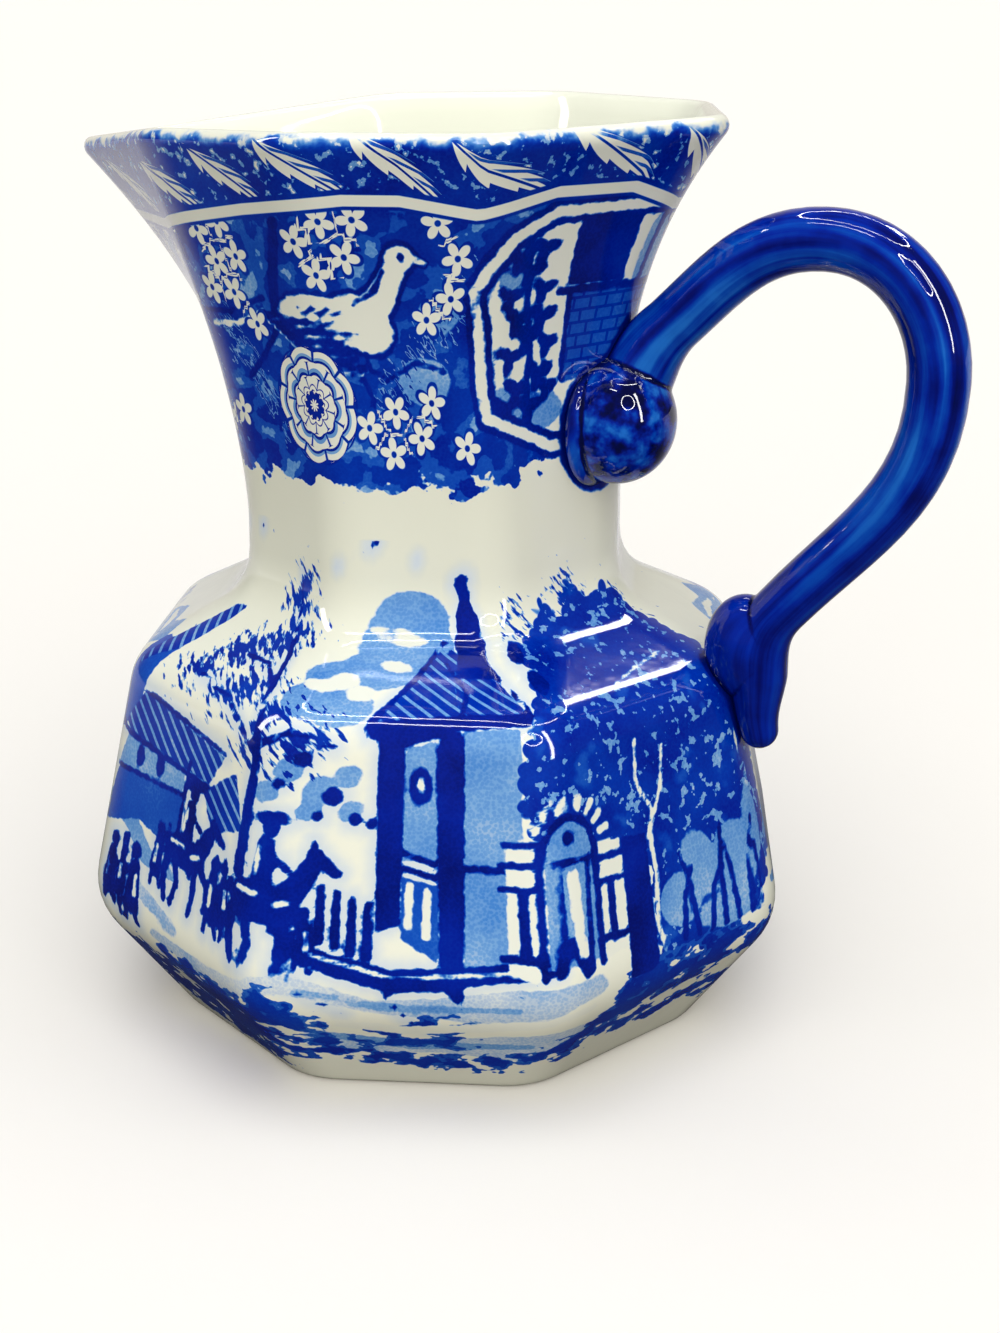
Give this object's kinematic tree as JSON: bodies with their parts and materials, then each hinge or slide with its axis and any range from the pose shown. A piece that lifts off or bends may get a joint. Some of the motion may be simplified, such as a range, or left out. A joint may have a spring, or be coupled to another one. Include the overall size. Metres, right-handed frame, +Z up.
{
  "type": "transferware pitcher",
  "caption": "Octagonal glazed pitcher with flared neck, pouring spout, round looped handle and a knob under its root; hollow, stands on a foot ring.",
  "frame": {"origin": "on the surface the pitcher stands on, under the middle of its bounding box; the vessel's own axis is at x = -0.0127", "axes": "+Z up, +X from the spout towards the handle, Y across"},
  "size_m": [0.2088, 0.1648, 0.2009],
  "materials": {
    "printed_glaze": "glossy cream glaze over a cobalt blue print, with a solid cobalt handle and knob"
  },
  "bodies": {
    "root": {"pitcher": "printed_glaze"}
  },
  "joints": []
}
